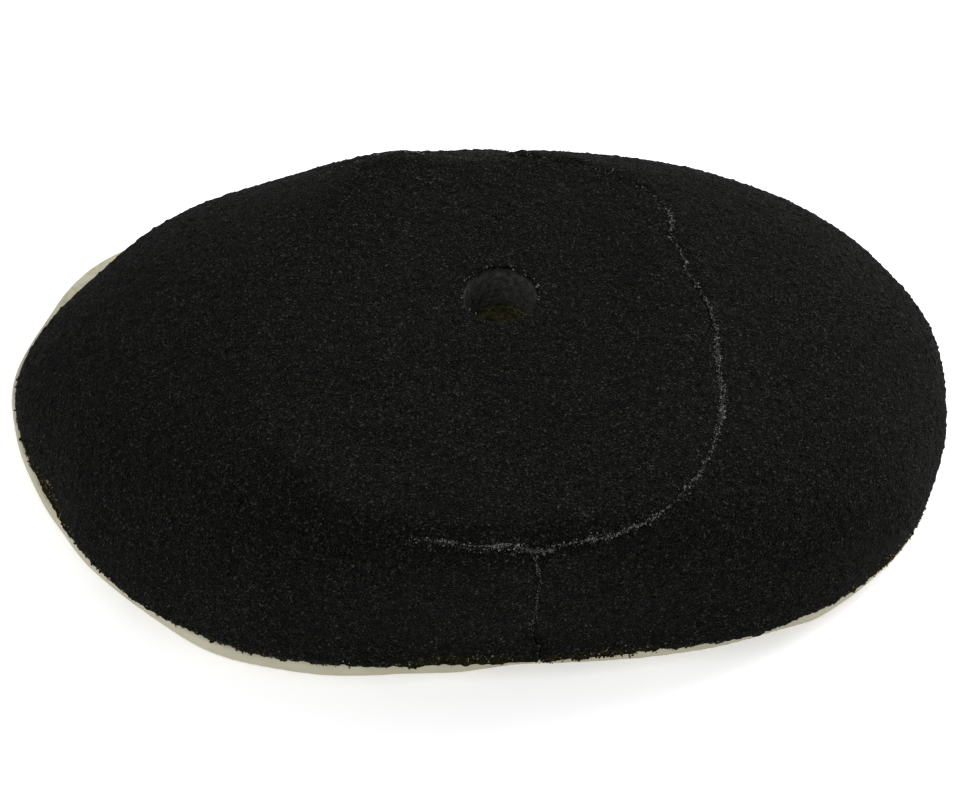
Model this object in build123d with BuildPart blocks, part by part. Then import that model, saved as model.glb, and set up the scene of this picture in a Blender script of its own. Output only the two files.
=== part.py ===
"""Dual layer foam air filter element for an off-road motorcycle.

A low oval dome of laminated foam, open underneath, stands on a flat smooth sealing ring.
The fine black outer foam and the coarse inner liner are cut as flat panels, folded into the
dome and glued edge to edge.  The main panel makes the flat top with its bolt hole, the long
left slope and the left half of the wall; the band makes the wall round the right end.
Frame: origin in the middle of the ring's underside, +X along the length, +Z up, millimetres.
"""
from build123d import *
import math
import os

os.makedirs("parts", exist_ok=True)

# ---------------------------------------------------------------- driving dimensions, mm
OUTER_FOAM = 11.0        # thickness of the fine black outer layer
INNER_FOAM = 6.0         # thickness of the coarse liner laminated to it
RING_HEIGHT = 6.0        # sealing ring, top to sealing face
RING_WIDTH = 21.0        # sealing ring, outer edge to the edge of its opening
RING_ROUND = 1.6         # rounding of the ring's edges
FOOT_GLUE = 0.5          # adhesive between ring and foam foot
FOOT_GLUE_SETBACK = 3.0  # how far it stays back from the foam's outer edge
FOOT_GLUE_MARGIN = 1.0   # how far it stays back from the liner's inner edge
BEAD = 0.9               # adhesive left in a butt seam
CROWN = 47.0             # highest point of the dome
TOP_RADIUS = 1500.0      # the flat top is very slightly domed
TOP_CENTRE = (0.0, -15.0)
RIM_ROUND = 9.0          # soft rounding where the top turns down into the wall
BOND_ROUND = 2.5         # the same rounding where the outer layer meets the liner
HOLE_RADIUS = 9.0        # bolt hole through both layers
HOLE_AT = (6.0, -3.0)
FRONT_SEAM_X = 14.0      # upright butt seam in the front wall
REAR_SEAM_X = 9.0        # upright butt seam in the rear wall
MITRE = 0.015            # the top seam leans in towards its middle by this share per mm of depth
FRONT_CUT = (-100.0, -40.0)   # how far the front upright seam reaches, along Y
REAR_CUT = (25.0, 105.0)      # and the rear one
CUT_HEIGHTS = (-10.0, 60.0)   # both reach past the foam's foot and crown
TOP_CUT_HEIGHTS = (20.0, 56.0)
WIDE = 400.0             # wider than the whole element
TALL = 100.0             # taller than the whole element

FOOT = RING_HEIGHT + FOOT_GLUE
FULL = OUTER_FOAM + INNER_FOAM

# Outline of the dome at each height: the four points furthest right, back, left and front,
# and how full each quarter between them is (2 is an ellipse, more is squarer).
LEVELS = (
    # height  right          back          left           front          fullness
    (0.0, (115.8, 4.5), (1.0, 79.2), (-116.5, 4.5), (-31.0, -84.1), (1.78, 1.7, 1.87, 3.0)),
    (6.0, (115.8, 4.5), (1.0, 79.2), (-116.5, 4.5), (-31.0, -84.1), (1.78, 1.7, 1.87, 3.0)),
    (16.0, (116.6, 2.5), (1.0, 76.4), (-112.0, 3.4), (-30.0, -82.4), (1.82, 1.71, 1.87, 2.9)),
    (26.0, (109.3, 1.5), (1.0, 67.3), (-101.2, 2.7), (-24.5, -81.2), (2.15, 1.95, 1.93, 2.85)),
    (36.0, (91.4, -5.7), (0.5, 57.0), (-83.0, -0.7), (-12.5, -79.6), (2.6, 2.15, 2.1, 2.7)),
    (44.0, (62.8, -22.0), (-1.0, 48.8), (-59.6, -9.0), (3.6, -77.3), (2.85, 2.2, 2.2, 2.55)),
    (52.0, (34.5, -30.0), (-3.5, 38.5), (-31.0, -17.0), (11.0, -74.0), (2.85, 2.2, 2.2, 2.5)),
)
LEVEL_PITCH = 4.0        # spacing of the sections the skins are drawn through
REACH_STEPS = 30         # heights tried, up and down, when a skin is set back inside another

# Sealing ring: its own outline, a little proud of the foam on the left and tucked in on the right
RING_OUTLINE = ((113.0, -6.0), (1.0, 82.4), (-118.4, 4.0), (-38.5, -82.5), (2.15, 1.9, 1.68, 2.88))
RING_DIP_X, RING_DIP_DEPTH, RING_DIP_SPREAD = 15.5, 2.0, 18.0

# Top seam, seen from above: starts as a dart in the front wall, runs along the front edge of
# the flat top, round its right end and back to a dart in the rear wall.
TOP_SEAM = (
    (-15.0, -75.6), (6.0, -77.0), (21.0, -76.6), (35.5, -72.4), (47.0, -62.0), (54.8, -47.5),
    (58.0, -30.0), (57.2, -13.0), (52.0, 4.0), (49.2, 15.0), (48.0, 26.0), (44.6, 31.6),
    (38.0, 36.8), (25.5, 42.8), (11.0, 47.0), (-12.0, 48.6), (-33.0, 45.6), (-44.0, 40.0),
)
TOP_SEAM_HEIGHT = 44.5
SEAM_MIDDLE = (5.0, -15.0)
# the uncut side of the closed outline, hidden inside the main panel
TOP_RETURN = ((-53.0, 18.0), (-51.0, -12.0), (-43.0, -42.0), (-33.0, -66.0))


# ---------------------------------------------------------------- outlines and profiles
def quarter(start, end, fullness, leaves_side, steps):
    """Points of one superellipse quarter; leaves_side when start is a left or right extreme."""
    found = []
    for k in range(steps):
        angle = 0.5 * math.pi * k / steps
        near = math.cos(angle) ** (2.0 / fullness)
        far = math.sin(angle) ** (2.0 / fullness)
        if leaves_side:
            found.append((end[0] + (start[0] - end[0]) * near, start[1] + (end[1] - start[1]) * far))
        else:
            found.append((start[0] + (end[0] - start[0]) * far, end[1] + (start[1] - end[1]) * near))
    return found


def outline(right, back, left, front, fullness, steps=6):
    """Closed oval through its four extreme points."""
    return (
        quarter(right, back, fullness[0], True, steps)
        + quarter(back, left, fullness[1], False, steps)
        + quarter(left, front, fullness[2], True, steps)
        + quarter(front, right, fullness[3], False, steps)
    )


def between(pick, height):
    """Smooth value of one feature of the levels at any height, run on straight past the last."""
    heights = [level[0] for level in LEVELS]
    values = [pick(level) for level in LEVELS]
    last = len(heights) - 1

    def slope(i):
        a, b = max(i - 1, 0), min(i + 1, last)
        return (values[b] - values[a]) / (heights[b] - heights[a])

    if height >= heights[last]:
        return values[last] + (height - heights[last]) * slope(last)
    k = max(i for i in range(last) if heights[i] <= height or i == 0)
    span = heights[k + 1] - heights[k]
    t = (height - heights[k]) / span
    return (
        (2 * t**3 - 3 * t**2 + 1) * values[k]
        + (t**3 - 2 * t**2 + t) * span * slope(k)
        + (3 * t**2 - 2 * t**3) * values[k + 1]
        + (t**3 - t**2) * span * slope(k + 1)
    )


def reach(side, height, depth):
    """Furthest point of one side (0 right, 1 back, 2 left, 3 front) a depth inside the skin."""
    best = 1e9
    for k in range(-REACH_STEPS, REACH_STEPS + 1):
        drop = depth * k / REACH_STEPS
        out = abs(between(lambda level: level[1 + side][side % 2], max(height + drop, 0.0)))
        best = min(best, out - math.sqrt(max(depth * depth - drop * drop, 0.0)))
    return best


def level_outline(height, depth):
    """Outline of the dome at a height, on the skin or a depth inside it."""
    across = [between(lambda level: level[1 + side][1 - side % 2], height) for side in range(4)]
    fullness = [between(lambda level: level[5][k], height) for k in range(4)]
    right = (reach(0, height, depth), across[0])
    back = (across[1], reach(1, height, depth))
    left = (-reach(2, height, depth), across[2])
    front = (across[3], -reach(3, height, depth))
    return outline(right, back, left, front, fullness)


def grown(points, distance):
    """Closed run of points moved outward by a distance along its normals."""
    moved = []
    for k, (x, y) in enumerate(points):
        before, after = points[k - 1], points[(k + 1) % len(points)]
        dx, dy = after[0] - before[0], after[1] - before[1]
        size = math.hypot(dx, dy)
        moved.append((x + distance * dy / size, y - distance * dx / size))
    return moved


# ---------------------------------------------------------------- skins of the foam
def skin(depth):
    """Solid bounded by the surface a depth inside the dome's outer skin."""
    steps = math.ceil((CROWN - depth) / LEVEL_PITCH) + 1
    with BuildPart() as body:
        for k in range(steps + 1):
            height = k * LEVEL_PITCH
            with BuildSketch(Plane.XY.offset(height)):
                with BuildLine():
                    Spline(*level_outline(height, depth), periodic=True)
                make_face()
        loft()
        with Locations((TOP_CENTRE[0], TOP_CENTRE[1], CROWN - TOP_RADIUS)):
            Sphere(TOP_RADIUS - depth, mode=Mode.INTERSECT)
    return body.part


def rounded(body, radius):
    """The same solid with its top rim rounded."""
    with BuildPart() as soft:
        add(body)
        fillet(soft.faces().sort_by(Axis.Z)[-1].edges(), radius=radius)
    return soft.part


outer_skin = rounded(skin(0.0), RIM_ROUND)
middle_skin = rounded(skin(OUTER_FOAM), BOND_ROUND)
inner_skin = skin(FULL)


# ---------------------------------------------------------------- seams cut right through
def plug(extra):
    """Tapered plug whose side is the top seam, a run of arcs, grown by extra."""
    seam = grown(TOP_SEAM + TOP_RETURN, extra)
    with BuildPart() as body:
        for height in TOP_CUT_HEIGHTS:
            share = 1.0 + (height - TOP_SEAM_HEIGHT) * MITRE
            with BuildSketch(Plane.XY.offset(height)):
                with BuildLine():
                    rim = [
                        (SEAM_MIDDLE[0] + share * (x - SEAM_MIDDLE[0]),
                         SEAM_MIDDLE[1] + share * (y - SEAM_MIDDLE[1]))
                        for x, y in seam
                    ]
                    for k in range(0, len(rim), 2):
                        ThreePointArc(rim[k], rim[k + 1], rim[(k + 2) % len(rim)])
                make_face()
        loft()
    return body.part


plug_outside = plug(0.5 * BEAD)
plug_inside = plug(-0.5 * BEAD)

dart_front, dart_rear = TOP_SEAM[0], TOP_SEAM[-1]
dart_angle = math.degrees(math.atan2(dart_rear[1] - dart_front[1], dart_rear[0] - dart_front[0]))

with BuildPart() as top_knife:
    add(plug_outside)
    add(plug_inside, mode=Mode.SUBTRACT)
    with BuildSketch(Plane.XY):
        with Locations(Location((dart_front[0], dart_front[1], 0), (0, 0, dart_angle))):
            Rectangle(WIDE, WIDE, align=(Align.CENTER, Align.MAX))
    extrude(amount=TALL, mode=Mode.INTERSECT)

corner = (Align.CENTER, Align.MIN, Align.MIN)

with BuildPart() as front_knife:
    with Locations((FRONT_SEAM_X, FRONT_CUT[0], CUT_HEIGHTS[0])):
        Box(BEAD, FRONT_CUT[1] - FRONT_CUT[0], CUT_HEIGHTS[1] - CUT_HEIGHTS[0], align=corner)
    add(plug_outside, mode=Mode.SUBTRACT)

with BuildPart() as rear_knife:
    with Locations((REAR_SEAM_X, REAR_CUT[0], CUT_HEIGHTS[0])):
        Box(BEAD, REAR_CUT[1] - REAR_CUT[0], CUT_HEIGHTS[1] - CUT_HEIGHTS[0], align=corner)
    add(plug_outside, mode=Mode.SUBTRACT)


# ---------------------------------------------------------------- foam layers
def layer(outside, inside):
    """One foam layer between two skins, standing on the foot, with the bolt hole."""
    with BuildPart() as body:
        add(outside)
        add(inside, mode=Mode.SUBTRACT)
        with Locations((0, 0, FOOT)):
            Box(WIDE, WIDE, TALL, align=(Align.CENTER, Align.CENTER, Align.MIN), mode=Mode.INTERSECT)
        with Locations((HOLE_AT[0], HOLE_AT[1], CROWN)):
            Cylinder(HOLE_RADIUS, TALL, mode=Mode.SUBTRACT)
    return body.part


outer_layer = layer(outer_skin, middle_skin)
inner_layer = layer(middle_skin, inner_skin)


def panels(body):
    """The layer cut along its seams: main panel first, band second."""
    with BuildPart() as cut:
        add(body)
        for knife in (top_knife, front_knife, rear_knife):
            add(knife.part, mode=Mode.SUBTRACT)
    return cut.part.solids().sort_by(SortBy.VOLUME, reverse=True)


outer_panels = panels(outer_layer)
inner_panels = panels(inner_layer)

with BuildPart() as outer_main_panel:
    add(outer_panels[0])
with BuildPart() as outer_side_band:
    add(outer_panels[1])
with BuildPart() as inner_main_panel:
    add(inner_panels[0])
with BuildPart() as inner_side_band:
    add(inner_panels[1])


# ---------------------------------------------------------------- adhesive in the seams
def bead(knife):
    """Adhesive filling one seam through both layers."""
    with BuildPart() as fill:
        add(outer_skin)
        add(inner_skin, mode=Mode.SUBTRACT)
        with Locations((0, 0, FOOT)):
            Box(WIDE, WIDE, TALL, align=(Align.CENTER, Align.CENTER, Align.MIN), mode=Mode.INTERSECT)
        add(knife.part, mode=Mode.INTERSECT)
    return fill.part


with BuildPart() as top_seam_glue:
    add(bead(top_knife))
with BuildPart() as front_seam_glue:
    add(bead(front_knife))
with BuildPart() as rear_seam_glue:
    add(bead(rear_knife))


# ---------------------------------------------------------------- sealing ring and foot glue
def ring_edge(inset):
    """Outline of the ring, shrunk by inset, with the shallow dip below the front seam."""
    right, back, left, front, fullness = RING_OUTLINE
    found = []
    for x, y in outline(right, back, left, front, fullness, steps=9):
        if y < 0:
            off = (x - RING_DIP_X) / RING_DIP_SPREAD
            y += RING_DIP_DEPTH * math.exp(-off * off)
        found.append((x, y))
    return grown(found, -inset) if inset else found


with BuildPart() as seal_ring:
    with BuildSketch(Plane.XY):
        with BuildLine():
            Spline(*ring_edge(0.0), periodic=True)
        make_face()
        with BuildLine():
            Spline(*ring_edge(RING_WIDTH), periodic=True)
        make_face(mode=Mode.SUBTRACT)
    extrude(amount=RING_HEIGHT)
    fillet(seal_ring.edges(), radius=RING_ROUND)

with BuildPart() as foot_glue_line:
    with BuildSketch(Plane.XY.offset(RING_HEIGHT)):
        with BuildLine():
            Spline(*grown(level_outline(FOOT, 0.0), -FOOT_GLUE_SETBACK), periodic=True)
        make_face()
        with BuildLine():
            Spline(*grown(level_outline(FOOT, 0.0), FOOT_GLUE_MARGIN - FULL), periodic=True)
        make_face(mode=Mode.SUBTRACT)
    extrude(amount=FOOT_GLUE)

# ---------------------------------------------------------------- labels and files
outer_main_panel.part.label = "outer_main_panel"
export_step(outer_main_panel.part, "parts/outer_main_panel.step")
outer_side_band.part.label = "outer_side_band"
export_step(outer_side_band.part, "parts/outer_side_band.step")
inner_main_panel.part.label = "inner_main_panel"
export_step(inner_main_panel.part, "parts/inner_main_panel.step")
inner_side_band.part.label = "inner_side_band"
export_step(inner_side_band.part, "parts/inner_side_band.step")
top_seam_glue.part.label = "top_seam_glue"
export_step(top_seam_glue.part, "parts/top_seam_glue.step")
front_seam_glue.part.label = "front_seam_glue"
export_step(front_seam_glue.part, "parts/front_seam_glue.step")
rear_seam_glue.part.label = "rear_seam_glue"
export_step(rear_seam_glue.part, "parts/rear_seam_glue.step")
foot_glue_line.part.label = "foot_glue_line"
export_step(foot_glue_line.part, "parts/foot_glue_line.step")
seal_ring.part.label = "seal_ring"
export_step(seal_ring.part, "parts/seal_ring.step")
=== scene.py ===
"""Looks of a dual layer foam air filter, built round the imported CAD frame.  Metres, row frame.

The foam panels are remeshed copies of their CAD nodes with soft cut edges, a slightly handmade
surface and an open pored skin.  The glue in the seams is a rough bead with torn crumbs of foam.
Shapes are worked out in mm and turned into metres as they are written to a mesh.
"""

import math

import bmesh
import bpy
import numpy as np
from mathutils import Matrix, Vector
from mathutils.bvhtree import BVHTree
from mathutils.kdtree import KDTree


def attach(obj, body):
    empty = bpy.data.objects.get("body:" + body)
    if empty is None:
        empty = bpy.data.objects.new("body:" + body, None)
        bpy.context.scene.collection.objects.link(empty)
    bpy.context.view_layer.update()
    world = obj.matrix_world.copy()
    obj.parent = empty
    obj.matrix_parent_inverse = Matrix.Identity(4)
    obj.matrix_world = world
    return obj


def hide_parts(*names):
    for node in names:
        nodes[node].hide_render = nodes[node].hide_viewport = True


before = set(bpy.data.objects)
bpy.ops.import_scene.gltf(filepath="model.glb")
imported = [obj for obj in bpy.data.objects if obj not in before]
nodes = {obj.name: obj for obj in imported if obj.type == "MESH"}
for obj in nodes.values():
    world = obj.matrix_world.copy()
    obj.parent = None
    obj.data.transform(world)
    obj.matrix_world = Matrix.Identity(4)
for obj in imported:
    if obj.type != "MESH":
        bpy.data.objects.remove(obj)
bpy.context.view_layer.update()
MM = 0.001

# ------------------------------------------------------------------ the element, in mm
# seams of the CAD model: the top seam seen from above, and the upright seams' places
TOP_SEAM = (
    (-15.0, -75.6), (6.0, -77.0), (21.0, -76.6), (35.5, -72.4), (47.0, -62.0), (54.8, -47.5),
    (58.0, -30.0), (57.2, -13.0), (52.0, 4.0), (49.2, 15.0), (48.0, 26.0), (44.6, 31.6),
    (38.0, 36.8), (25.5, 42.8), (11.0, 47.0), (-12.0, 48.6), (-33.0, 45.6), (-44.0, 40.0),
)
ARC_POINTS = 17        # arcs run through the first seventeen points, a straight dart to the last
SEAM_MIDDLE = np.array((5.0, -15.0))
SEAM_HEIGHT = 44.5
SEAM_LEAN = 0.015      # the top seam leans in towards its middle by this share per mm of depth
SEAM_ABOVE, SEAM_BELOW = 8.0, 12.0   # the skin is looked for from this far above to this far below
SEAM_STEP = 0.4        # spacing of the points along a seam
WELL_OUTSIDE = 120.0   # further in front of or behind the middle than any piece
UPRIGHT_TOP = 43.5     # the upright seams end here, under the top seam
FRONT_SEAM_X, REAR_SEAM_X = 14.0, 9.0
HOLE_AT, HOLE_RADIUS = np.array((6.0, -3.0)), 9.0
FOOT = 6.5             # height of the foam's cut foot
# the dome is roughly the top of an ellipsoid with this middle and these half sizes
DOME_MIDDLE, DOME_HALF = np.array((0.0, -4.0, -4.0)), np.array((118.0, 80.0, 46.0))

# unevenness of the pieces: size of the lumps and how far they stand out
WAVES = ((34.0, 0.45), (11.0, 0.1575))           # the foam's handmade skin
PORES = ((0.9, 0.8), (1.6, 0.25))                # its torn pores, times TORN_DEPTH
RAG = ((1.3, 0.55), (5.0, 0.25))                 # its cut foot
LINER_PORES = ((1.5, 0.3), (3.2, 0.2))
BEAD_LUMPS = ((0.9, 0.3), (3.5, 0.35))           # the glue squeezed out of a seam
TORN_DEPTH = 0.36
# torn struts bristle where noise of this lump size is over a level; the skin sinks a little for them
BRISTLE_SIZE, BRISTLE_LEVEL, BRISTLE_RISE, BRISTLE_SINK = 0.75, 0.2, 1.3, 0.15
PUNCHED_SKIN = 0.35    # the punched wall of the hole is torn only this much as deep
RAG_HEIGHT, RAG_HANG = 1.4, 0.6       # the ragged strip's height, and how far it may hang lower
RAG_OUT, RAG_FRAY, RAG_FRAY_SIZE = 0.2, 0.4, 1.4   # it spreads sideways by this, more or less
PINCHES = ((1.2, 0.35), (5.0, 0.3))   # the skin is drawn in along a seam: half width and depth
JOINT_SWELL, JOINT_SWELL_WIDTH = 0.2, 2.5     # its cut faces swell into the joint
SEAM_REACH = 9.0       # no seam is felt from further off
MAIN_SEED, BAND_SEED = 11, 23
TONGUE_EDGE = 0.9      # how far the flat top's front edge stands proud of the wall
TONGUE_X, TONGUE_WIDTH = -2.0, 14.0   # the middle of that edge and how far it runs
TONGUE_FRONT, TONGUE_Z = -60.0, 43.2  # it lies in front of this Y, creased at this height
HOLE_SAG = 3.2         # how far the outer layer's underside sags round the hole
HOLE_SAG_REACH = 5.0
LINER_DROOP = 1.5      # how much further the liner's lower edge hangs there
# the flat top ends at the rear left in a soft knuckle, with a fold running down from it
KNUCKLE_AT = np.array((-24.0, 46.0, 44.5))
KNUCKLE_SPREAD = np.array((14.0, 10.0, 8.0))
KNUCKLE_RISE = 2.1
FOLD_POINTS = np.array(((-31.0, 47.5, 41.0), (-41.0, 37.0, 43.5), (-50.0, 25.0, 44.0)))
FOLD_RIDGE, FOLD_RIDGE_WIDTH = 0.55, 2.4
FOLD_HOLLOW, FOLD_HOLLOW_WIDTH = 0.35, 6.0

# where the hand cut foam, and then the ring, swells (+) or draws in (-): place, reach and amount
FOAM_SWELLS = (
    ((113.0, 6.0, 20.0), 16.0, 1.0), ((101.0, 22.0, 29.0), 12.0, -0.5),
    ((98.0, -55.0, 10.0), 12.0, -1.9), ((110.0, -36.0, 14.0), 10.0, -1.3),
    ((81.0, -67.0, 8.0), 10.0, 0.6), ((64.0, -75.0, 8.0), 11.5, 1.9),
    ((38.0, -79.5, 8.0), 11.0, -1.5), ((2.0, -83.0, 8.0), 21.0, -2.5),
    ((-9.0, -83.5, 9.0), 8.0, -0.9), ((-22.0, -84.0, 8.0), 7.0, 1.0), ((-78.0, -66.0, 8.0), 12.0, 1.1),
    ((-105.0, -34.0, 9.0), 11.0, -2.8), ((-114.0, -9.0, 9.0), 14.0, 0.5),
    ((-97.0, 27.0, 23.0), 14.0, -1.4), ((-52.0, 51.0, 33.0), 14.0, -1.3),
    ((-2.0, 46.0, 45.2), 16.0, -1.2), ((12.0, 48.0, 44.0), 5.0, 0.6),
)
RING_SWELLS = (
    ((-101.0, 43.0, 3.0), 14.0, 2.0), ((-113.0, 21.0, 3.0), 12.0, -1.5),
    ((-94.0, -50.0, 3.0), 10.0, 0.7), ((-63.0, -74.0, 3.0), 12.0, 0.9),
    ((-47.0, -79.0, 3.0), 9.0, -0.7), ((-4.0, -81.0, 3.0), 9.0, 1.0),
    ((12.0, -79.0, 3.0), 8.0, -0.3), ((98.0, -54.0, 3.0), 8.0, -0.8), ((81.0, -67.0, 3.0), 7.0, 1.0),
)
# where the glued seams were pulled off their line: place, reach and shift
SEAM_PULLS = (
    ((14.5, -76.0, 41.0), 5.0, (0.0, -0.9, -2.2)), ((1.0, -76.5, 43.2), 5.0, (0.0, -0.3, -0.9)),
    ((14.3, -79.0, 34.0), 4.5, (0.8, 0.0, 0.0)), ((14.3, -81.0, 17.0), 4.0, (-0.9, 0.0, 0.0)),
    ((14.3, -82.0, 9.0), 4.0, (1.2, 0.0, 0.0)), ((48.2, 17.0, 45.8), 4.0, (-1.8, 0.0, 0.0)),
    ((52.0, 4.0, 46.0), 5.0, (-0.7, 0.0, 0.0)), ((57.7, -22.5, 45.6), 8.0, (-1.0, 0.0, 0.0)),
)


# ------------------------------------------------------------------ numbers and meshes
NOISE_SHIFT = 311.7    # keeps the numbers of the noise's cells positive
SMOOTHING = 0.6        # how far a smoothing step moves a point towards its neighbours' mean
REGROW = 1.04          # each smoothing step is undone by this much, so that thin pieces keep their size


def hashed(cells, seed):
    """One repeatable random number from -1 to 1 for each integer cell."""
    n = (cells[:, 0] * 73856093) ^ (cells[:, 1] * 19349663) ^ (cells[:, 2] * 83492791)
    n = (n ^ (seed * 668265263)) & 0xFFFFFFFF
    n = ((n ^ (n >> 15)) * 2246822519) & 0xFFFFFFFF
    n = ((n ^ (n >> 13)) * 3266489917) & 0xFFFFFFFF
    n = n ^ (n >> 16)
    return (n & 0xFFFF) / 32767.5 - 1.0


def noise(points, size, seed):
    """Smooth noise from -1 to 1 with lumps of about size mm, at points in mm."""
    at = points / size + NOISE_SHIFT
    cell = np.floor(at).astype(np.int64)
    f = at - cell
    f = f * f * (3 - 2 * f)
    total = np.zeros(len(points))
    for dx in (0, 1):
        for dy in (0, 1):
            for dz in (0, 1):
                weight = np.prod(np.where((dx, dy, dz), f, 1 - f), axis=1)
                total += weight * hashed(cell + (dx, dy, dz), seed)
    return total


def layered(points, seed, layers):
    """Noise of several lump sizes added up; layers holds (size, amount) in mm."""
    return sum(noise(points, size, seed + k) * amount for k, (size, amount) in enumerate(layers))


def coords(mesh):
    """A mesh's vertices as an array, in mm."""
    flat = np.empty(len(mesh.vertices) * 3, np.float32)
    mesh.vertices.foreach_get("co", flat)
    return flat.reshape(-1, 3).astype(float) / MM


def set_coords(mesh, points):
    """Moves a mesh's vertices to an array in mm."""
    mesh.vertices.foreach_set("co", (points * MM).astype(np.float32).ravel())
    mesh.update()


def normals(mesh):
    """A mesh's vertex normals as an array."""
    flat = np.empty(len(mesh.vertices) * 3, np.float32)
    mesh.vertex_normals.foreach_get("vector", flat)
    return flat.reshape(-1, 3).astype(float)


def relaxed(mesh, points, rounds):
    """Points smoothed along the mesh's edges with little shrinking."""
    flat = np.empty(len(mesh.edges) * 2, np.int32)
    mesh.edges.foreach_get("vertices", flat)
    a, b = flat[0::2], flat[1::2]
    count = len(points)
    near = np.bincount(flat, minlength=count)[:, None]
    for _ in range(rounds):
        for step in (SMOOTHING, -REGROW * SMOOTHING):
            mean = np.stack(
                [np.bincount(a, points[b, k], count) + np.bincount(b, points[a, k], count)
                 for k in range(3)], axis=1) / near
            points = points + step * (mean - points)
    return points


def link(name, mesh):
    """A new object in the scene for the mesh."""
    obj = bpy.data.objects.new(name, mesh)
    bpy.context.scene.collection.objects.link(obj)
    return obj


VOXEL_SCALE = 1.0
WELD = 0.002           # CAD vertices closer than this are one


def remeshed(node, name, voxel):
    work = bmesh.new()
    work.from_mesh(nodes[node].data)
    bmesh.ops.remove_doubles(work, verts=work.verts, dist=WELD * MM)
    mesh = bpy.data.meshes.new(name)
    work.to_mesh(mesh)
    work.free()
    obj = link(name, mesh)
    even = obj.modifiers.new("even", "REMESH")
    even.mode = "VOXEL"
    even.voxel_size = voxel * VOXEL_SCALE * MM
    made = bpy.data.meshes.new_from_object(
        obj.evaluated_get(bpy.context.evaluated_depsgraph_get()))
    obj.modifiers.clear()
    obj.data = made
    made.name = name
    made.materials.clear()
    made.polygons.foreach_set("use_smooth", np.ones(len(made.polygons), bool))
    return obj


def place(obj, material, slot, *replaced):
    """Gives the piece its material and the body root and hides the CAD nodes it replaces; slot is not used.
    """
    obj.data.materials.clear()
    obj.data.materials.append(material)
    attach(obj, "root")
    if replaced:
        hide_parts(*replaced)
    return obj


# ------------------------------------------------------------------ where the skin and seams are
def skin_tree():
    """Search tree over the two outer foam panels and the seam glue, in mm."""
    points, faces = [], []
    for node in ("outer_main_panel", "outer_side_band", "top_seam_glue",
                 "front_seam_glue", "rear_seam_glue"):
        mesh = nodes[node].data
        base = len(points)
        points += [tuple(c / MM for c in v.co) for v in mesh.vertices]
        faces += [tuple(base + i for i in p.vertices) for p in mesh.polygons]
    return BVHTree.FromPolygons(points, faces)


SKIN = skin_tree()


def outward(points):
    """Rough outward direction of the dome at points in mm."""
    away = (points - DOME_MIDDLE) / DOME_HALF**2
    return away / np.linalg.norm(away, axis=1)[:, None]


def beyond_hole(points):
    """How far each point is outside the bolt hole's wall, seen from above."""
    return np.hypot(points[:, 0] - HOLE_AT[0], points[:, 1] - HOLE_AT[1]) - HOLE_RADIUS


def resampled(points, spacing):
    """A run of points set out again at an even spacing."""
    points = np.asarray(points, float)
    along = np.r_[0, np.cumsum(np.linalg.norm(np.diff(points, axis=0), axis=1))]
    at = np.linspace(0, along[-1], max(2, int(along[-1] / spacing) + 1))
    return np.stack([np.interp(at, along, points[:, k]) for k in range(points.shape[1])], axis=1)


def arcs(points, steps=12):
    """Points along the arcs that run through each three points in turn."""
    found = []
    for k in range(0, len(points) - 2, 2):
        a, b, c = (np.array(points[k + j]) for j in range(3))
        for t in np.linspace(0, 1, steps, endpoint=False):
            found.append(a * (1 - t) * (1 - 2 * t) + b * 4 * t * (1 - t) + c * t * (2 * t - 1))
    found.append(np.array(points[-1]))
    return found


def seam_lines():
    """The three seams' lines on the outer skin, each with the skin's normals."""
    lines, runs = {}, {"top": [], "front": [], "rear": []}
    for plan in resampled(arcs(TOP_SEAM[:ARC_POINTS]) + [np.array(TOP_SEAM[-1])], SEAM_STEP):
        high = SEAM_MIDDLE + (plan - SEAM_MIDDLE) * (1 + SEAM_LEAN * SEAM_ABOVE)
        low = SEAM_MIDDLE + (plan - SEAM_MIDDLE) * (1 - SEAM_LEAN * SEAM_BELOW)
        start = Vector((*high, SEAM_HEIGHT + SEAM_ABOVE))
        way = (Vector((*low, SEAM_HEIGHT - SEAM_BELOW)) - start).normalized()
        runs["top"].append((start, way))
    for z in np.arange(FOOT + SEAM_STEP / 2, UPRIGHT_TOP, SEAM_STEP):
        runs["front"].append((Vector((FRONT_SEAM_X, -WELL_OUTSIDE, z)), Vector((0, 1, 0))))
        runs["rear"].append((Vector((REAR_SEAM_X, WELL_OUTSIDE, z)), Vector((0, -1, 0))))
    for name, rays in runs.items():
        hits = [SKIN.ray_cast(start, way) for start, way in rays]
        hits = [h for h in hits if h[0] is not None]
        lines[name] = (np.array([h[0][:] for h in hits]), np.array([h[1][:] for h in hits]))
    return lines


SEAMS = seam_lines()
SEAM_POINTS = np.concatenate([SEAMS[k][0] for k in ("top", "front", "rear")])
FOLD_LINE = resampled(FOLD_POINTS, 2 * SEAM_STEP)


def nearest(points, targets, reach):
    """Distance in mm from each point to the nearest target, up to reach."""
    tree = KDTree(len(targets))
    for k, p in enumerate(targets):
        tree.insert(p, k)
    tree.balance()
    dist = np.full(len(points), reach)
    lo, hi = targets.min(0) - reach, targets.max(0) + reach
    for i in np.nonzero(np.all((points > lo) & (points < hi), axis=1))[0]:
        dist[i] = min(reach, tree.find(points[i])[2])
    return dist


# ------------------------------------------------------------------ foam
def bell(distance, width):
    """1 at no distance, falling off smoothly over width."""
    return np.exp(-((distance / width) ** 2))


def fold(points):
    """How far the fold at the rear left of the flat top stands out, in mm."""
    knuckle = np.exp(-np.sum(((points - KNUCKLE_AT) / KNUCKLE_SPREAD) ** 2, axis=1))
    off = nearest(points, FOLD_LINE, 2 * FOLD_HOLLOW_WIDTH)
    ridge = FOLD_RIDGE * bell(off, FOLD_RIDGE_WIDTH) - FOLD_HOLLOW * bell(off, FOLD_HOLLOW_WIDTH)
    return KNUCKLE_RISE * knuckle + ridge


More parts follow.
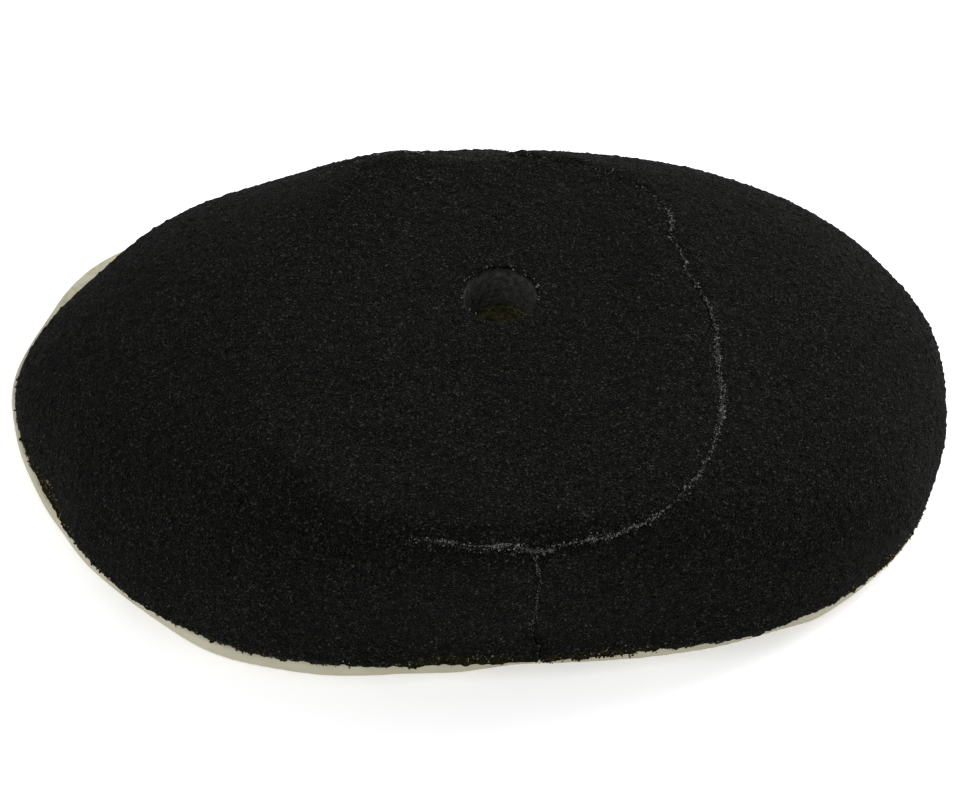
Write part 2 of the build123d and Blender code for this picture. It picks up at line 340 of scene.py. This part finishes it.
def swollen(points, places):
    """How far each point stands out where the piece swells, in mm."""
    total = np.zeros(len(points))
    for place_at, reach, amount in places:
        total += amount * bell(np.linalg.norm(points - place_at, axis=1), reach)
    return total


def pulled(points):
    """Points carried along where a seam was pulled off its line."""
    moved = points.copy()
    for place_at, reach, shift in SEAM_PULLS:
        moved += bell(np.linalg.norm(points - place_at, axis=1), reach)[:, None] * shift
    return moved


def waviness(points, seed):
    """The handmade unevenness of a panel's skin, in mm."""
    return layered(points, seed, WAVES)


def tongue_edge(points):
    """How far the flat top's front edge stands forward, and the wall just under it back."""
    high = points[:, 2] - TONGUE_Z
    along = bell(points[:, 0] - TONGUE_X, TONGUE_WIDTH) * (points[:, 1] < TONGUE_FRONT)
    return TONGUE_EDGE * along * np.clip(high / 0.8, -1, 1) * bell(high, 4.0)


def torn(points, skin, seed):
    """Points of a panel with its pores torn open and its cut foot left ragged."""
    depth = layered(points, seed + 2, PORES)
    bristles = np.clip(noise(points, BRISTLE_SIZE, seed + 7) - BRISTLE_LEVEL, 0, 1)
    depth += bristles * BRISTLE_RISE - BRISTLE_SINK
    low = np.clip(1 - (points[:, 2] - FOOT) / RAG_HEIGHT, 0, 1)
    past_rim = np.clip((beyond_hole(points) - 0.3) / 0.8, 0, 1)
    share = PUNCHED_SKIN + (1 - PUNCHED_SKIN) * past_rim
    points = points + skin * (depth * TORN_DEPTH * share * (1 - low))[:, None]
    points[:, 2] += low * layered(points, seed + 4, RAG)
    fray = RAG_OUT + noise(points, RAG_FRAY_SIZE, seed + 6) * RAG_FRAY
    points[:, :2] += skin[:, :2] * (low * fray)[:, None]
    points[:, 2] = np.maximum(points[:, 2], FOOT - RAG_HANG)
    return points


def shaped_foam(obj, seed):
    """Soft cut edges, handmade waviness, a pinch along the seams and a torn open pored skin."""
    mesh = obj.data
    points = relaxed(mesh, coords(mesh), 4)
    set_coords(mesh, points)
    out, skin = outward(points), normals(mesh)
    facing = np.clip(np.einsum("ij,ij->i", skin, out), 0, 1)
    gap = nearest(points, SEAM_POINTS, SEAM_REACH)
    above_foot = np.clip((points[:, 2] - FOOT - 1.0) / 6.0, 0, 1)
    pinch = sum(bell(gap, width) * deep for width, deep in PINCHES)
    points = points + out * ((waviness(points, seed) - pinch) * facing * above_foot)[:, None]
    points = points + out * ((fold(points) + swollen(points, FOAM_SWELLS)) * facing)[:, None]
    # the cut faces swell into the joint and leave only a narrow line of glue
    points = points + skin * (bell(gap, JOINT_SWELL_WIDTH) * (1 - facing) * JOINT_SWELL)[:, None]
    points[:, 1] -= tongue_edge(points) * facing
    # the layer's underside sags a little where the bolt hole is punched through it
    under = np.clip((40.0 - points[:, 2]) / 4.0, 0, 1)
    points[:, 2] -= HOLE_SAG * bell(beyond_hole(points), HOLE_SAG_REACH) * under
    points = pulled(points)
    set_coords(mesh, points)
    set_coords(mesh, torn(points, normals(mesh), seed))


# ------------------------------------------------------------------ materials
class Nodes:
    """Short way to write a material's node tree."""

    def __init__(self, name):
        self.mat = bpy.data.materials.new(name)
        self.mat.use_nodes = True
        self.tree = self.mat.node_tree
        self.tree.nodes.clear()
        self.out = self.add("ShaderNodeOutputMaterial")
        self.shader = self.add("ShaderNodeBsdfPrincipled")
        self.tree.links.new(self.shader.outputs[0], self.out.inputs[0])
        self.where = self.add("ShaderNodeTexCoord").outputs["Object"]

    def add(self, kind, **values):
        node = self.tree.nodes.new(kind)
        for key, value in values.items():
            setattr(node, key, value)
        return node

    def feed(self, node, socket, value):
        target = node.inputs[socket]
        if isinstance(value, bpy.types.NodeSocket):
            self.tree.links.new(value, target)
        else:
            target.default_value = value

    def math(self, operation, a, b):
        node = self.add("ShaderNodeMath", operation=operation)
        self.feed(node, 0, a)
        self.feed(node, 1, b)
        return node.outputs[0]

    def vector(self, operation, a, b):
        node = self.add("ShaderNodeVectorMath", operation=operation)
        self.feed(node, 0, a)
        self.feed(node, "Scale" if operation == "SCALE" else 1, b)
        return node.outputs[0]

    def noise(self, size, detail=2.0, rough=0.5):
        """Noise with lumps of size mm."""
        node = self.add("ShaderNodeTexNoise")
        self.feed(node, "Vector", self.where)
        self.feed(node, "Scale", 1.0 / (size * MM))
        self.feed(node, "Detail", detail)
        self.feed(node, "Roughness", rough)
        return node.outputs["Fac"]

    def cells(self, size, where):
        """Distance to the walls of cells of size mm, from 0 on a wall."""
        node = self.add("ShaderNodeTexVoronoi", feature="DISTANCE_TO_EDGE")
        self.feed(node, "Vector", where)
        self.feed(node, "Scale", 1.0 / (size * MM))
        return node.outputs["Distance"]

    def ramp(self, fac, low, high, start=0.0, end=1.0):
        """A number that goes from low to high while fac goes from start to end."""
        node = self.add("ShaderNodeMapRange", clamp=True)
        self.feed(node, "Value", fac)
        self.feed(node, "From Min", start)
        self.feed(node, "From Max", end)
        self.feed(node, "To Min", low)
        self.feed(node, "To Max", high)
        return node.outputs[0]

    def mix(self, fac, a, b):
        node = self.add("ShaderNodeMix", data_type="RGBA")
        self.feed(node, 0, fac)
        for socket, value in ((6, a), (7, b)):
            self.feed(node, socket, value if isinstance(value, bpy.types.NodeSocket) else (*value, 1))
        return node.outputs[2]

    def bump(self, height, distance, strength=1.0, under=None):
        node = self.add("ShaderNodeBump")
        self.feed(node, "Height", height)
        self.feed(node, "Distance", distance * MM)
        self.feed(node, "Strength", strength)
        if under:
            self.feed(node, "Normal", under)
        return node.outputs[0]

    def height(self):
        """Height above the sealing face, in mm."""
        split = self.add("ShaderNodeSeparateXYZ")
        self.feed(split, 0, self.where)
        return self.math("DIVIDE", split.outputs[2], MM)


def foam_material(name, pore, dark, mid, light, sheen, stain=None, cut_and_painted_light=None):
    """Open cell foam: fine struts round dark pores of pore mm, cut through at the skin, with the pores'
    darkness painted shade and pale glints on the struts painted highlights.

    stain colours its foot; the wall of the bolt hole is made paler, partly for its smoother punched cut and
    partly as painted light.
    """
    n = Nodes(name)
    blur = n.add("ShaderNodeTexNoise")
    n.feed(blur, "Vector", n.where)
    n.feed(blur, "Scale", 1.0 / (pore * 1.3 * MM))
    shift = n.vector("SCALE", blur.outputs["Color"], pore * 0.9 * MM)
    wall = n.cells(pore, n.vector("ADD", n.where, shift))
    strut = n.ramp(wall, 1.0, 0.0, 0.03, 0.26)
    clump = n.ramp(n.noise(pore * 1.9, 1.5, 0.6), 0.55, 1.4, 0.34, 0.66)
    # glint masks pale specks on the struts: painted highlights where cut strut ends catch the light
    glint = n.ramp(n.noise(pore * 0.8, 1.0, 0.6), 0.0, 1.0, 0.57, 0.70)
    patch = n.ramp(n.noise(26.0, 3.0), 0.61, 0.78, 0.3, 0.7)
    # the pores take the dark colour, painted shade in the holes; the struts take the mid colour
    colour = n.mix(strut, dark, mid)
    colour = n.mix(n.math("MULTIPLY", glint, n.ramp(strut, 0.2, 1.0)), colour, light)
    if cut_and_painted_light:
        # the bolt hole's wall is paler: partly its smoother punched cut, partly painted light that the lamps
        # don't give it
        colour = n.mix(hole_wall(n), colour, cut_and_painted_light)
    if stain:
        edge = n.math("ADD", n.height(), n.math("MULTIPLY", n.noise(2.2, 3.0, 0.7), -2.4))
        near_foot = n.ramp(edge, 1.0, 0.0, FOOT - 1.2, FOOT + 0.35)
        colour = n.mix(n.math("MULTIPLY", near_foot, n.ramp(strut, 0.3, 1.0)), colour, stain)
    n.feed(n.shader, "Base Color", n.vector("SCALE", colour, n.math("MULTIPLY", patch, clump)))
    n.shader.inputs["Roughness"].default_value = 1.0
    n.shader.inputs["Specular IOR Level"].default_value = 0.06
    n.shader.inputs["Sheen Weight"].default_value = sheen
    n.shader.inputs["Sheen Roughness"].default_value = 0.25
    relief = n.math("ADD", strut, n.math("MULTIPLY", clump, 0.5))
    n.feed(n.shader, "Normal", n.bump(relief, pore * 0.6, 1.0))
    return n.mat


def hole_wall(n):
    """Near 1 on the bolt hole's punched wall below its rounded rim, 0 elsewhere; it places the wall's paler
    cut and painted light.
    """
    across = n.vector("SUBTRACT", n.where, (HOLE_AT[0] * MM, HOLE_AT[1] * MM, 0.0))
    size = n.add("ShaderNodeVectorMath", operation="LENGTH")
    n.feed(size, 0, n.vector("MULTIPLY", across, (1.0, 1.0, 0.0)))
    away = n.math("DIVIDE", size.outputs["Value"], MM)
    inside = n.ramp(away, 0.85, 0.0, HOLE_RADIUS + 0.35, HOLE_RADIUS + 0.75)
    return n.math("MULTIPLY", inside, n.ramp(n.height(), 1.0, 0.0, 44.6, 46.2))


def bead_material(name, dark, light):
    """Dried contact adhesive full of torn foam: dull dark film with pale rough grains."""
    n = Nodes(name)
    grain = n.ramp(n.noise(0.55, 3.0, 0.75), 0.0, 1.0, 0.44, 0.66)
    runs = n.ramp(n.noise(5.0, 2.0), 0.35, 1.0, 0.38, 0.62)
    n.feed(n.shader, "Base Color", n.mix(n.math("MULTIPLY", grain, runs), dark, light))
    n.feed(n.shader, "Roughness", n.ramp(grain, 0.5, 0.85))
    n.shader.inputs["Specular IOR Level"].default_value = 0.05
    n.feed(n.shader, "Normal", n.bump(n.noise(0.4, 3.0, 0.7), 0.25))
    return n.mat


def ring_material(name):
    """Smooth moulded cream foam rubber with a faint skin, soft mottling and a little soiling."""
    n = Nodes(name)
    mottle = n.ramp(n.noise(9.0, 4.0, 0.6), 0.0, 1.0, 0.35, 0.68)
    colour = n.mix(mottle, (0.366, 0.347, 0.25), (0.433, 0.41, 0.31))
    blotch = n.ramp(n.noise(3.2, 4.0, 0.7), 0.0, 1.0, 0.45, 0.65)
    soil = n.math("MULTIPLY", n.ramp(n.height(), 0.0, 0.55, 4.6, 6.0), blotch)
    colour = n.mix(soil, colour, (0.20, 0.165, 0.10))
    n.feed(n.shader, "Base Color", colour)
    n.feed(n.shader, "Roughness", n.ramp(n.noise(1.5, 3.0), 0.5, 0.68))
    n.shader.inputs["Specular IOR Level"].default_value = 0.3
    skin = n.bump(n.noise(0.35, 2.0, 0.6), 0.03, 0.6)
    n.feed(n.shader, "Normal", n.bump(n.noise(4.0, 2.0), 0.2, 0.5, under=skin))
    return n.mat


FINE = foam_material("fine_black_foam", 0.7, (0.0005, 0.0005, 0.0004), (0.0085, 0.0085, 0.0075),
                     (0.056, 0.056, 0.050), sheen=0.010,
                     stain=(0.036, 0.032, 0.011), cut_and_painted_light=(0.110, 0.110, 0.102))
COARSE = foam_material("coarse_liner_foam", 1.4, (0.085, 0.075, 0.033), (0.175, 0.163, 0.079),
                       (0.25, 0.235, 0.132), sheen=0.0)
BEAD = bead_material("seam_adhesive", (0.003, 0.003, 0.0027), (0.014, 0.014, 0.0125))
# the grains' pale colour is painted highlight on torn foam and glue along the seams and the hole's rim
GRAIN_GLINTS = bead_material("torn_grains_painted_glints", (0.045, 0.045, 0.041), (0.27, 0.27, 0.255))
FOOT_BEAD = bead_material("foot_adhesive", (0.008, 0.0075, 0.004), (0.05, 0.043, 0.019))
SPECK = bead_material("cream_specks", (0.11, 0.096, 0.05), (0.36, 0.335, 0.235))
CREAM = ring_material("cream_ring")


# ------------------------------------------------------------------ pieces
def foam_panel(node, name, voxel, seed):
    """One panel of the black outer foam."""
    obj = remeshed(node, name, voxel)
    shaped_foam(obj, seed)
    place(obj, FINE, "fine_foam", node)
    return obj


def liner_panel(node, name, seed):
    """One panel of the liner, coarse on its inside, hanging a little round the hole."""
    obj = remeshed(node, name, 1.0)
    points = relaxed(obj.data, coords(obj.data), 3)
    set_coords(obj.data, points)
    near_hole = bell(beyond_hole(points), HOLE_SAG_REACH) * (points[:, 2] > 27.0)
    points[:, 2] -= near_hole * (HOLE_SAG + LINER_DROOP * np.clip((36.0 - points[:, 2]) / 6.0, 0, 1))
    skin = normals(obj.data)
    inside = np.clip(-np.einsum("ij,ij->i", skin, outward(points)), 0, 1)
    set_coords(obj.data, points + skin * (inside * layered(points, seed, LINER_PORES))[:, None])
    place(obj, COARSE, "coarse_foam", node)


outer_main = foam_panel("outer_main_panel", "outer_main_foam", 0.75, MAIN_SEED)
outer_band = foam_panel("outer_side_band", "outer_band_foam", 0.72, BAND_SEED)
liner_panel("inner_main_panel", "liner_main_foam", 37)
liner_panel("inner_side_band", "liner_band_foam", 41)


BEAD_DEPTH = 0.95      # how far a seam's glue stays below the CAD skin, so that the foam closes over it


def shaped_bead(node, name, proud, seed):
    """Seam glue: wanders a little, squeezed out unevenly at the skin."""
    obj = remeshed(node, name, 0.45)
    mesh = obj.data
    points = relaxed(mesh, coords(mesh), 2)
    gap = nearest(points, SEAM_POINTS, 3.0)
    squeezed = bell(gap, 1.1)
    lift = layered(points, seed, BEAD_LUMPS) - BEAD_DEPTH + proud
    lift += (waviness(points, MAIN_SEED) + waviness(points, BAND_SEED)) / 2
    lift *= np.clip((points[:, 2] - FOOT) / 4.0, 0, 1)
    lift += swollen(points, FOAM_SWELLS)
    points = points + outward(points) * (squeezed * lift)[:, None]
    set_coords(mesh, points)
    skin = normals(mesh)
    points = points + skin * (squeezed * noise(points, 0.8, seed + 2) * 0.28)[:, None]
    set_coords(mesh, pulled(points))
    return obj


for node, name, proud, seed in (("top_seam_glue", "top_seam_bead", 0.1, 53),
                                ("front_seam_glue", "front_seam_bead", 0.0, 59),
                                ("rear_seam_glue", "rear_seam_bead", 0.0, 61)):
    place(shaped_bead(node, name, proud, seed), BEAD, "seam_glue", node)


SKIN_REACH = 2.2       # how far from the CAD skin the finished skin is looked for
BESIDE = 0.8           # how far beside a grain it is looked for
ANY_WAY = (0.36, 0.48, 0.8)   # a direction that no skin faces exactly
GRAIN_LIFT = (-0.08, 0.10)    # how far below or above the skin a grain's middle lies
FOAM_TREES = [BVHTree.FromObject(o, bpy.context.evaluated_depsgraph_get())
              for o in (outer_main, outer_band)]


def on_foam(point, up):
    """The point moved onto the finished foam's skin, judged from just beside it; None off the foam."""
    across = np.cross(up, ANY_WAY)
    across /= np.linalg.norm(across)
    sideways = np.cross(up, across)
    depths = []
    for step in (across, -across, sideways, -sideways):
        start = Vector((point + step * BESIDE + up * SKIN_REACH) * MM)
        hits = [tree.ray_cast(start, Vector(-up), 2 * SKIN_REACH * MM)[3] for tree in FOAM_TREES]
        if any(hit is not None for hit in hits):
            depths.append(min(hit for hit in hits if hit is not None))
    return point + up * (SKIN_REACH - np.median(depths) / MM) if depths else None


def crumbs(name, lines, seed, settle=on_foam):
    """Torn grains of foam and glue along runs of points on the skin.

    lines holds (points, normals, density per mm, spread mm, size mm) with one density per point;
    settle moves a grain to where it rests, or drops it.
    """
    rng = np.random.default_rng(seed)
    work = bmesh.new()
    bmesh.ops.create_icosphere(work, subdivisions=1, radius=1.0)
    unit = np.array([v.co[:] for v in work.verts])
    tris = np.array([[v.index for v in f.verts] for f in work.faces])
    work.free()
    verts, faces = [], []
    for points, skins, density, spread, size in lines:
        step = np.linalg.norm(np.diff(points, axis=0, append=points[-1:]), axis=1)
        for k, (p, up) in enumerate(zip(points, skins)):
            for _ in range(rng.poisson(density[k] * step[k])):
                side = rng.normal(0, spread, 3)
                side -= up * (side @ up)
                big = size * rng.lognormal(0, 0.45)
                dents = rng.uniform(-0.4, 0.4, (len(unit), 1))
                lump = unit * (1 + dents) * big * rng.uniform(0.5, 1.3, 3)
                middle = settle(p + side, up)
                if middle is not None:
                    faces.append(tris + len(verts) * len(unit))
                    verts.append(lump + middle + up * rng.uniform(*GRAIN_LIFT))
    mesh = bpy.data.meshes.new(name)
    mesh.from_pydata((np.concatenate(verts) * MM).tolist(), [], np.concatenate(faces).tolist())
    mesh.polygons.foreach_set("use_smooth", np.ones(len(mesh.polygons), bool))
    return link(name, mesh)


def along_weight(points, wobble, seed, least=0.15):
    """An uneven weight along a run, mostly from least to 1."""
    uneven = wobble * noise(points, 7.0, seed) + 0.45 * noise(points, 2.0, seed + 1)
    return np.clip(0.5 + uneven, least, 1.6)


def seam_grains():
    """Grains along the three seams: thickest at the front corner, faint at the back."""
    runs = []
    points, skins = SEAMS["top"]
    steps = np.arange(len(points))
    ends = np.clip(np.minimum(steps + 6, len(points) - 1 - steps) / 22.0, 0, 1)
    front = 1.0 + 1.1 * bell(points[:, 0] - 6.0, 15.0) * (points[:, 1] < 0)
    back = np.where(points[:, 1] > 31.0, 0.2, 1.0)
    weight = along_weight(points, 0.5, 71, least=0.42) * ends * front * back
    line = pulled(points)
    runs.append((line, skins, 24.0 * weight, 0.38, 0.12))
    runs.append((line, skins, 5.0 * weight, 0.75, 0.10))
    for name, share, seed in (("front", 0.5, 73), ("rear", 0.35, 79)):
        points, skins = SEAMS[name]
        fade = 0.45 + 0.55 * np.clip((points[:, 2] - 8.0) / 24.0, 0, 1)
        weight = 30.0 * share * fade * along_weight(points, 0.4, seed, least=0.35)
        runs.append((pulled(points), skins, weight, 0.3, 0.10))
    return runs


def rim_grains():
    """Torn flecks round the top edge of the bolt hole, made pale by painted highlight."""
    turn = np.linspace(0, 2 * math.pi, 73)[:-1]
    plan = HOLE_AT + (HOLE_RADIUS + 0.25) * np.stack([np.cos(turn), np.sin(turn)], axis=1)
    top = SKIN.ray_cast(Vector((HOLE_AT[0], HOLE_AT[1] - 12.0, 60.0)), Vector((0, 0, -1)))[0].z
    points = np.c_[plan, np.full(len(plan), top - 0.35)]
    skins = np.tile((0.0, 0.0, 1.0), (len(points), 1))
    return [(points, skins, 1.9 * along_weight(points, 0.7, 97), 0.4, 0.15)]


def foot_fringe(reach, share, lift, spread, size):
    """Where shreds hang on the lowest reach mm of the foam, with share of them at each of its points."""
    points, skins = [], []
    for obj in (outer_main, outer_band):
        at, skin = coords(obj.data), normals(obj.data)
        edge = (at[:, 2] < FOOT + reach) & (np.einsum("ij,ij->i", skin, outward(at)) > 0.3)
        points.append(at[edge] + (0.0, 0.0, lift))
        skins.append(skin[edge])
    points, skins = np.concatenate(points), np.concatenate(skins)
    step = np.linalg.norm(np.diff(points, axis=0, append=points[-1:]), axis=1)
    return [(points, skins, share / np.maximum(step, 0.01), spread, size)]


# the seam and rim grains are pale with painted highlight
place(crumbs("seam_grains", seam_grains(), 83), GRAIN_GLINTS, "seam_glue")
place(crumbs("hole_rim_grains", rim_grains(), 101), GRAIN_GLINTS, "fine_foam")
shreds = foot_fringe(reach=0.6, share=1.4, lift=-0.1, spread=0.25, size=0.15)
specks = foot_fringe(reach=1.5, share=0.4, lift=0.0, spread=0.4, size=0.12)
place(crumbs("foot_fringe", shreds, 103, settle=lambda point, up: point), FINE, "fine_foam")
place(crumbs("foot_specks", specks, 109), SPECK, "foot_glue")


# ------------------------------------------------------------------ ring and its glue
def cream_ring():
    """The sealing ring, a little uneven round its edge and flat underneath."""
    ring = remeshed("seal_ring", "cream_seal_ring", 0.8)
    points = relaxed(ring.data, coords(ring.data), 4)
    waver = noise(points, 30.0, 89) * 0.15 + noise(points, 9.0, 91) * 0.12 + swollen(points, RING_SWELLS)
    set_coords(ring.data, points)
    points = points + normals(ring.data) * (1, 1, 0.15) * waver[:, None]
    points[:, 2] = np.maximum(points[:, 2], 0.0)
    set_coords(ring.data, points)
    place(ring, CREAM, "seal_ring", "seal_ring")


def foot_glue():
    """The glue under the foam, squeezed out unevenly towards the outside only."""
    foot = remeshed("foot_glue_line", "foot_bead", 0.4)
    points = coords(foot.data)
    rim = np.hypot(points[:, 0] / 100.0, points[:, 1] / 66.0) > 1.0
    spread = 1.4 + noise(points, 2.4, 97) * 1.1 + noise(points, 7.0, 99) * 0.6 + swollen(points, FOAM_SWELLS)
    set_coords(foot.data, points + normals(foot.data) * (1, 1, 0.2) * (rim * spread)[:, None])
    place(foot, FOOT_BEAD, "foot_glue", "foot_glue_line")


cream_ring()
foot_glue()


# ------------------------------------------------------------------ floor, light and camera
FLOOR_HALF = 4.0       # metres, as are all lengths from here on
LAMP_AIM = (0, 0, 0.02)


def lay_floor():
    """A plain pale floor that goes on past the picture's edges."""
    corners = [(x * FLOOR_HALF, y * FLOOR_HALF, 0) for x, y in ((-1, -1), (1, -1), (1, 1), (-1, 1))]
    mesh = bpy.data.meshes.new("floor")
    mesh.from_pydata(corners, [], [(0, 1, 2, 3)])
    floor = link("floor", mesh)
    n = Nodes("pale_floor")
    n.shader.inputs["Base Color"].default_value = (0.93, 0.93, 0.93, 1)
    n.shader.inputs["Roughness"].default_value = 0.9
    n.shader.inputs["Specular IOR Level"].default_value = 0.0
    n.shader.inputs["Emission Color"].default_value = (1, 1, 1, 1)
    n.shader.inputs["Emission Strength"].default_value = 0.27
    mesh.materials.append(n.mat)


def soft_light(name, place_at, size, power):
    """A round soft lamp aimed at the filter."""
    data = bpy.data.lights.new(name, "AREA")
    data.shape, data.size, data.energy = "DISK", size, power
    lamp = bpy.data.objects.new(name, data)
    bpy.context.scene.collection.objects.link(lamp)
    lamp.location = place_at
    lamp.rotation_euler = (Vector(LAMP_AIM) - Vector(place_at)).to_track_quat("-Z", "Y").to_euler()


def studio():
    """Even white surroundings, a key lamp from the rear right and a weak fill from the front left."""
    lay_floor()
    world = bpy.data.worlds.new("studio")
    world.use_nodes = True
    back = world.node_tree.nodes["Background"]
    back.inputs["Color"].default_value = (1, 1, 1, 1)
    back.inputs["Strength"].default_value = 0.80
    bpy.context.scene.world = world
    soft_light("key", (0.85, 0.75, 0.6), size=0.9, power=17.0)
    soft_light("fill", (-0.6, -0.7, 0.95), size=1.2, power=4.0)
    bpy.context.scene.view_settings.view_transform = "Standard"


def camera():
    """Long lens, 50 degrees above the horizontal, a little over half a metre away."""
    data = bpy.data.cameras.new("camera")
    data.sensor_width, data.lens = 36.0, 99.0
    data.clip_start, data.clip_end = 0.05, 20.0
    cam = bpy.data.objects.new("camera", data)
    bpy.context.scene.collection.objects.link(cam)
    aim, rise, away = Vector((0.001, -0.014, 0.020)), math.radians(50.0), 0.650
    back = Vector((0, -math.cos(rise), math.sin(rise)))
    cam.location = aim + back * away
    cam.rotation_euler = (-back).to_track_quat("-Z", "Y").to_euler()
    bpy.context.scene.camera = cam


studio()
camera()
